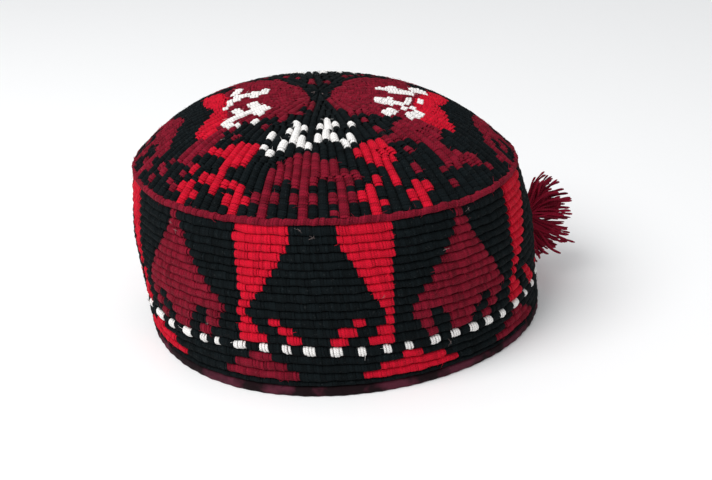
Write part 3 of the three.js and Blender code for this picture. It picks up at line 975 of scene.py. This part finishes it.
def paint_comb(colours, ribs, angle, share, turn, top):
    """The comb, turned round the crown and squashed towards the rim so that its top fits."""
    squash = (1 - top) / (1 - COMB_TOP)
    arch = [(at, 1 - (1 - low) * squash, 1 - (1 - high) * squash) for at, low, high in COMB_ARCH]
    teeth = [(left + turn, right + turn, 1 - (1 - low) * squash, 1 - (1 - high) * squash)
             for left, right, low, high in DARK_COMB]
    paint_band(colours, signed(angle - turn), share, arch, DARK_RED)
    paint_bars(colours, ribs, share, teeth, DARK_RED)


def paint_chequer(colours, ribs, angle, share, left, right, low, high):
    within = (angle >= left) & (angle <= right) & (share >= low) & (share <= high)
    step = ((share - low) / CHEQUER_STEP + 0.3 * np.sin(ribs * 2.1)).astype(int)
    kept = ~CHEQUER_LEFT_OUT[ribs, np.clip(step, 0, CHEQUER_STEPS - 1)]
    colours[within & kept & ((ribs + step) % 2 == 0)] = DARK_RED


def crown_colours(ribs, angle, share):
    colours = np.full(len(angle), BLACK)
    folded = np.where(np.abs(angle) <= 90, angle, np.sign(angle) * 180 - angle)
    front = np.abs(angle) <= 90
    for rows, half in ((SIDE_FIELD_FRONT, front), (SIDE_FIELD_BACK, ~front)):
        half_colours = colours[half]
        paint_field(half_colours, np.abs(folded[half]), share[half], rows, DARK_RED)
        colours[half] = half_colours
    for rows in (RIGHT_PATCH, LEFT_PATCH):
        paint_field(colours, folded, share, rows, DARK_RED)
    for rows in (RIGHT_BAND, LEFT_BAND):
        paint_band(colours, angle, share, rows, BRIGHT_RED)
    for chequer in CHEQUERS:
        paint_chequer(colours, ribs, angle, share, *chequer)
    for turn, top in COMBS:
        paint_comb(colours, ribs, angle, share, turn, top)
    paint_bars(colours, ribs, share, both_ends(DARK_DASHES), DARK_RED)
    for rows in (RIGHT_BIRD, LEFT_BIRD):
        paint_field(colours, folded, share, rows, BRIGHT_RED)
    paint_bars(colours, ribs, share, both_ends(BRIGHT_BARS), BRIGHT_RED)
    paint_bars(colours, ribs, share, mirrored(WHITE_FRONT, BACK_OUTSET), WHITE)
    for bars in (WHITE_FRONT, WHITE_RIGHT, WHITE_LEFT):
        paint_bars(colours, ribs, share, bars, WHITE)
    return colours


# %% Wrap the ribs of the crown
CROWN_SLANT = 0.00016


def crown_ring(index):
    """The strands of one ring: angles and shares of their points, and for each strand its rise,
    shade, rib, middle angle and ring."""
    draw = np.random.default_rng(900 + index)
    share = ring_shares[index]
    ribs, left, right = rib_edges(share)
    count = len(left)
    middles, half = (left + right) / 2, (right - left) / 2
    across = ACROSS * draw.uniform(*WIDTH_SPREAD, (count, 1, 1))
    wobble = draw.uniform(-0.00012, 0.00012, (count, 1, 1))
    lean = CROWN_SLANT * draw.uniform(0.3, 1.7, (count, 1, 1))
    length = ring_lengths[index] + across * STRAND_WIDTH / 2 + lean * ALONG + wobble
    at_share = np.interp(length, dome_length, share_steps)
    at_angle = np.radians(middles[:, None, None] + half[:, None, None] * ALONG)
    at_angle = np.broadcast_to(at_angle, at_share.shape)
    rise = draw.normal(0, HEIGHT_SPREAD, count) + 0.00012 * np.sin(ribs * 2.4 + share * 23)
    ring = np.full(count, index)
    return at_angle, at_share, rise, draw.uniform(0, 1, count), ribs, signed(middles), ring


def rib_neighbours(ribs, rings, colours):
    """The colours of the strands before and after each one along its rib, -1 for none."""
    chart = np.full((len(ring_lengths) + 2, CROWN_RIBS), -1)
    chart[rings + 1, ribs] = colours
    return chart[rings, ribs], chart[rings + 2, ribs]


def settle_colours(ribs, rings, colours):
    """A lone strand between two of one other colour takes theirs."""
    for parity in (0, 1):
        inner, outer = rib_neighbours(ribs, rings, colours)
        lone = (inner == outer) & (inner >= 0) & (rings % 2 == parity)
        colours = np.where(lone, inner, colours)
    return colours


def colour_changes(ribs, rings, colours):
    """True for a strand whose neighbour along its rib has another colour."""
    inner, outer = rib_neighbours(ribs, rings, colours)
    return ((inner >= 0) & (inner != colours)) | ((outer >= 0) & (outer != colours))


def add_crown():
    rings = [crown_ring(index) for index in range(len(ring_lengths))]
    columns = [np.concatenate(part) for part in zip(*rings)]
    at_angle, at_share, rise, shades, ribs, angles, ring = columns
    colours = settle_colours(ribs, ring, crown_colours(ribs, angles, ring_shares[ring]))
    tight = colour_changes(ribs, ring, colours)
    insets = strand_insets(colours, rise - TIGHT_SINK * tight)
    middle_of = at_angle.mean(axis=(1, 2), keepdims=True)
    at_angle = middle_of + (at_angle - middle_of) * (1 - TIGHT_NARROW * tight[:, None, None])
    points = dome_point(at_angle, at_share, insets)
    for name, middle_angle in (("front", 0), ("right", 90), ("back", 180), ("left", -90)):
        away = signed(angles - middle_angle)
        chosen = (away >= -45) & (away < 45)
        add_strands(f"crown_ribs_{name}", points[chosen], colours[chosen], shades[chosen],
                    "crown_top")
    return len(points)


print("crown strands:", add_crown())


# %% Ground of the crown
def add_crown_ground():
    shares = np.linspace(CROWN_FIRST_SHARE, CROWN_EDGE / CREASE_RADIUS, CROWN_ROWS)
    rows = [dome_point(ground_angles, share, GROUND_DEPTH) for share in shares]
    for inset in (BAND_THICKNESS * 0.5, BAND_THICKNESS):
        rows.append(band_point(ground_angles, BAND_TOP + SEAM_GAP, inset))
    ribs = CROWN_INNER_RELIEF * np.cos(CROWN_INNER_RIBS * ground_angles)
    for share in shares[::-1]:
        rows.append(dome_point(ground_angles, share, CROWN_THICKNESS + ribs * share))
    add_skin("crown_ground", rows, ground_yarn_and_groove_shade, "crown_top", turned_over=True)


add_crown_ground()
print("crown ground is closed")

# %% [markdown]
# A thin cord closely wrapped in dark red yarn hides the seam between side and crown. Its wraps
# lie across it at a slant, and it sinks in a little where the seam is pulled tight. Each wrap is
# a strand like the others, laid round a core that closes it from below.

# %% Cord along the crease
PIPING_WRAPS = 430
CORE_SIDES = 8
CORE_INSET = 0.0005
PIPING_SINK = 0.0010
PIPING_FLAT = 0.0014
PIPING_TALL = 0.0016
PIPING_DROP = 0.0009
WRAP_WIDTHS = (0.56, 0.68)
WRAP_LEANS = (0.3, 0.7)
WRAP_MIDDLE = 0.35
WRAP_REACH = 2.1
WRAP_FALL = 0.00015


def piping_point(angle, around, rise):
    """A point of the cord's skin: around is 0 where it faces outwards and grows upwards."""
    uneven = lumps(angle, 71, 0.00008)
    inset = PIPING_SINK - PIPING_OUTSET - (PIPING_FLAT + rise + uneven) * np.cos(around)
    height = BAND_HEIGHT - PIPING_DROP + lumps(angle, 72, 0.00013)
    points = band_point(angle, height, inset)
    points[..., 2] += (PIPING_TALL + rise + uneven) * np.sin(around)
    return points


def add_piping():
    draw = np.random.default_rng(21)
    wraps = np.arange(PIPING_WRAPS) + draw.uniform(-0.15, 0.15, PIPING_WRAPS)
    step = 2 * math.pi / PIPING_WRAPS
    across = ACROSS * draw.uniform(*WRAP_WIDTHS, (PIPING_WRAPS, 1, 1))
    lean = draw.uniform(*WRAP_LEANS, (PIPING_WRAPS, 1, 1))
    angle = step * (wraps[:, None, None] + across + lean * ALONG)
    around = np.broadcast_to(WRAP_MIDDLE + ALONG * WRAP_REACH, angle.shape)
    edge = ON_EDGE * WRAP_FALL
    rise = draw.normal(0, 0.00006, (PIPING_WRAPS, 1, 1)) - edge
    points = piping_point(angle, around, np.broadcast_to(rise, angle.shape))
    colours = np.full(PIPING_WRAPS, DARK_RED)
    add_strands("crown_piping_wraps", points, colours, draw.uniform(0, 1, PIPING_WRAPS),
                "crown_piping")
    around = np.linspace(0, 2 * math.pi, CORE_SIDES, endpoint=False)
    # The core has the near-black ground colour, painted shade between the wraps
    rows = [piping_point(ground_angles, side, -CORE_INSET) for side in around]
    add_skin("crown_piping_core", rows, ground_yarn_and_groove_shade, "crown_piping")


add_piping()
print("piping:", PIPING_WRAPS, "wraps")

# %% [markdown]
# The hem is bound with a folded strip of plain dark cloth. It is smooth beside the cords, with
# slight puckers where the thread pulls it in, and a fine weave that shows only close up.

# %% Woven cloth group and the hem
WEAVE_PITCH = 0.00055
WORN_SCALE = 85.0
HEM_COLUMNS = 420
HEM_ROW_STEP = 0.0008


def make_weave_group():
    group, given, result = new_group("plain_weave", [
        ("Dye", "Color", PLAIN_GREY), ("Worn", "Color", PLAIN_GREY), ("Wear", "Float", 0.3)])
    threads = [sums(group, "SINE", sums(group, "MULTIPLY", strand_value(group, label),
                                        2 * math.pi / WEAVE_PITCH)) for label in ("across", "along")]
    weave = sums(group, "MULTIPLY", *threads)
    patches = between(group, noise(group, WORN_SCALE, 5.0), 0.45, 0.62)
    fibres = noise(group, 3500.0, 3.0)
    tone = sums(group, "ADD", 1.0, sums(group, "MULTIPLY", weave, 0.2))
    tone = sums(group, "ADD", tone, swing(group, fibres, 0.5, 0.5))
    tinted = blend_colours(group, "MULTIPLY", 1.0, given.outputs["Dye"], grey(group, tone))
    faded = sums(group, "MULTIPLY", patches, given.outputs["Wear"])
    final = blend_colours(group, "MIX", faded, tinted, given.outputs["Worn"])
    rough = sums(group, "ADD", 0.8, sums(group, "MULTIPLY", fibres, 0.15))
    put_out(group, result, final, rough, sums(group, "ADD", weave, fibres))
    return group


weave_group = make_weave_group()
hem_cloth = new_material(
    "hem_cloth", weave_group,
    {"Dye": (0.011, 0.0045, 0.006, 1), "Worn": (0.105, 0.020, 0.037, 1), "Wear": 0.85},
    0.00012, 0.04, (0.4, 0.3, 0.32, 1))


def add_hem():
    angle = np.linspace(0, 2 * math.pi, HEM_COLUMNS, endpoint=False)
    low, high = HEM_ROUNDING, HEM_HEIGHT - HEM_ROUNDING
    section = [(0, HEM_THICKNESS - 0.0004), (0, HEM_ROUNDING), (0.3 * low, 0.3 * low), (low, 0),
               (HEM_HEIGHT / 2, -0.0002), (high, 0), (HEM_HEIGHT - 0.3 * low, 0.3 * low),
               (HEM_HEIGHT, HEM_ROUNDING), (HEM_HEIGHT + 0.0002, HEM_THICKNESS * 0.5),
               (HEM_HEIGHT, HEM_THICKNESS - 0.0004), (high, HEM_THICKNESS), (low, HEM_THICKNESS)]
    pucker = 0.00016 * np.cos(96 * angle + 2 * np.sin(5 * angle)) + 0.0001 * np.cos(37 * angle)
    rows = []
    for height, inset in section:
        outer = 1 if inset <= HEM_ROUNDING and 0 < height < HEM_HEIGHT else 0
        rows.append(band_point(angle, height, inset - outer * pucker))
    values = {"across": np.tile(angle * HEM_RADIUS, len(section)),
              "along": np.repeat(np.arange(len(section)) * HEM_ROW_STEP, HEM_COLUMNS)}
    add_skin("hem_cloth_binding", rows, hem_cloth, "hem_binding", values)


add_hem()
print("hem is bound")

# %% [markdown]
# The tassel is a bunch of two-ply yarn ends tied at a knot and sewn to the wall. Each end is a
# tube with two lobes that turn along it, so the twist shows in the outline. Hair would render
# well, but it would not be a mesh, and the ends of real yarn are few enough to model.

# %% Tassel
HEAD_RADIUS = 0.0036
HEAD_LENGTH = 0.0045
LOCK_LENGTH = 0.025
LOCK_DROOP = 0.06
TASSEL_ANGLE = math.radians(100)
TASSEL_HEIGHT = 0.0335
YARNS_PER_LOCK = 11
YARN_RADIUS = 0.00052
YARN_STATIONS = 22
YARN_SIDES = 8
YARN_LOBES = 0.2
YARN_TURN = 0.0022
YARN_TIP = 0.55

# The yarns leave the knot up and down along the wall and then bend outwards
FAN_OUT = 1.2
FAN_UP = 1.45

# Lift above the horizontal and sweep to the front, in degrees, and reach
TASSEL_LOCKS = (
    (63, -6, 0.86), (51, 14, 0.84), (40, -14, 0.92), (28, 8, 0.92), (17, -22, 0.84),
    (7, 6, 0.86), (-4, -12, 0.90), (-16, 12, 0.92), (-28, -8, 0.98), (-40, 10, 1.00),
    (-52, -4, 1.00), (-60, 8, 0.92))

# How much the yarns of one lock differ from each other, and the turns of yarn round the knot
LIFT_SPREAD = 9
SWEEP_SPREAD = 13
SWEEP_GROWTH = 1.4
LENGTH_SPREAD = (0.78, 1.08)
THICK_SPREAD = (0.85, 1.1)
BEND_SPREAD = 0.0018
KNOT_SPREAD = 0.0018
YARN_SAG = 0.0014
HEAD_TURNS = 4
HEAD_PITCH = 0.0009


def unit(vector):
    return vector / np.linalg.norm(vector)


def yarn_tube(line, radius):
    """A tube along a line of points whose two lobes turn as the plies of a yarn do."""
    steps = np.gradient(line, axis=0)
    steps /= np.linalg.norm(steps, axis=1)[:, None]
    side = unit(np.cross(steps[0], [0.3, 0.2, 0.9]))
    run = np.concatenate([[0], np.linalg.norm(np.diff(line, axis=0), axis=1).cumsum()])
    around = np.linspace(0, 2 * math.pi, YARN_SIDES, endpoint=False)
    rings = []
    for index, step in enumerate(steps):
        side = unit(side - step * (side @ step))
        other = np.cross(step, side)
        twist = 2 * math.pi * run[index] / YARN_TURN
        thick = radius * (1 + YARN_LOBES * np.cos(2 * (around - twist)))
        if index in (0, len(steps) - 1):
            thick = thick * YARN_TIP
        rings.append(line[index] + thick[:, None] * (np.cos(around)[:, None] * side
                                                      + np.sin(around)[:, None] * other))
    count = len(line)
    body = grid_quads(count, YARN_SIDES, close_columns=True)
    half = YARN_SIDES // 2 - 1
    cap = np.array([(k, YARN_SIDES - 1 - k, YARN_SIDES - 2 - k, k + 1) for k in range(half)])
    last = (count - 1) * YARN_SIDES + cap[:, ::-1]
    return np.concatenate(rings), np.concatenate([body, cap, last]), np.repeat(run, YARN_SIDES)


def join_tubes(tubes, shades):
    """All the tubes as one mesh, each with its own place along the yarn and its own shade."""
    points, quads, along, across, shade = [], [], [], [], []
    around_yarn = np.sin(np.linspace(0, 2 * math.pi, YARN_SIDES))
    first = 0
    for (verts, faces, run), value in zip(tubes, shades):
        points.append(verts)
        quads.append(faces + first)
        along.append(run)
        across.append(np.tile(around_yarn, len(verts) // YARN_SIDES))
        shade.append(np.full(len(verts), value))
        first += len(verts)
    values = {"across": np.concatenate(across), "along": np.concatenate(along),
              "shade": np.concatenate(shade)}
    return np.concatenate(points), np.concatenate(quads), values


tassel_yarn = yarn("tassel_yarn", (0.22, 0.0070, 0.024), (0.50, 0.14, 0.17), 0.9, 0.10, 0.06)


def add_tassel():
    def wall(turned_by, raised_by):
        return band_point(np.array([TASSEL_ANGLE + turned_by]), TASSEL_HEIGHT + raised_by, 0)[0]

    beside = HEAD_RADIUS / HEM_RADIUS
    rise = wall(0, HEAD_RADIUS) - wall(0, -HEAD_RADIUS)
    outward = unit(np.cross(wall(beside, 0) - wall(-beside, 0), rise))
    upward = np.array([0, 0, 1.0])
    forward = unit(np.cross(outward, upward))
    seat = wall(0, 0) + outward * SEAM_GAP
    knot = seat + outward * HEAD_LENGTH * 0.55
    draw = np.random.default_rng(77)
    along = np.linspace(0, 1, YARN_STATIONS)[:, None]
    tubes, shades = [], []
    for lift, sweep, lock_reach in TASSEL_LOCKS:
        for _ in range(YARNS_PER_LOCK):
            raised = math.radians(lift + draw.normal(0, LIFT_SPREAD))
            swept = math.radians(sweep * SWEEP_GROWTH + draw.normal(0, SWEEP_SPREAD))
            aim = unit(outward * math.cos(raised) * math.cos(swept)
                       + forward * math.cos(raised) * math.sin(swept)
                       + upward * (math.sin(raised) - LOCK_DROOP))
            length = LOCK_LENGTH * lock_reach * draw.uniform(*LENGTH_SPREAD)
            bend = unit(np.cross(aim, draw.normal(0, 1, 3))) * draw.normal(0, BEND_SPREAD)
            start = knot + unit(np.cross(aim, draw.normal(0, 1, 3))) * draw.uniform(0, KNOT_SPREAD)
            wave = np.sin(along * math.pi * draw.uniform(0.8, 1.6)) * bend
            sag = -upward * YARN_SAG * along ** 2
            climb = upward * (aim @ upward)
            path = (aim - climb) * along ** FAN_OUT + climb * (1 - (1 - along) ** FAN_UP)
            line = start + path * length + wave + sag
            tubes.append(yarn_tube(line, YARN_RADIUS * draw.uniform(*THICK_SPREAD)))
            shades.append(draw.uniform(0, 1))
    for turn_index in range(HEAD_TURNS):
        angle = np.linspace(0, 2 * math.pi * 0.98, YARN_STATIONS)[:, None]
        centre = seat + outward * (HEAD_PITCH + HEAD_PITCH * turn_index)
        size = HEAD_RADIUS * (0.92 - 0.05 * abs(turn_index - (HEAD_TURNS - 1) / 2))
        ring = centre + size * (np.cos(angle) * forward + np.sin(angle) * upward)
        tubes.append(yarn_tube(ring, YARN_RADIUS))
        shades.append(0.4)
    points, quads, values = join_tubes(tubes, shades)
    new_piece("tassel_yarns", points, quads, [tassel_yarn], "tassel", values=values)
    return len(tubes)


print("tassel:", add_tassel(), "yarns")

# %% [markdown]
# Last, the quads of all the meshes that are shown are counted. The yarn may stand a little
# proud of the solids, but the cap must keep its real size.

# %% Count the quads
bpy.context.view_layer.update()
shown = [o for o in scene.objects if o.type == "MESH" and not o.hide_render]
print("quads in all:", sum(len(o.data.polygons) for o in shown))
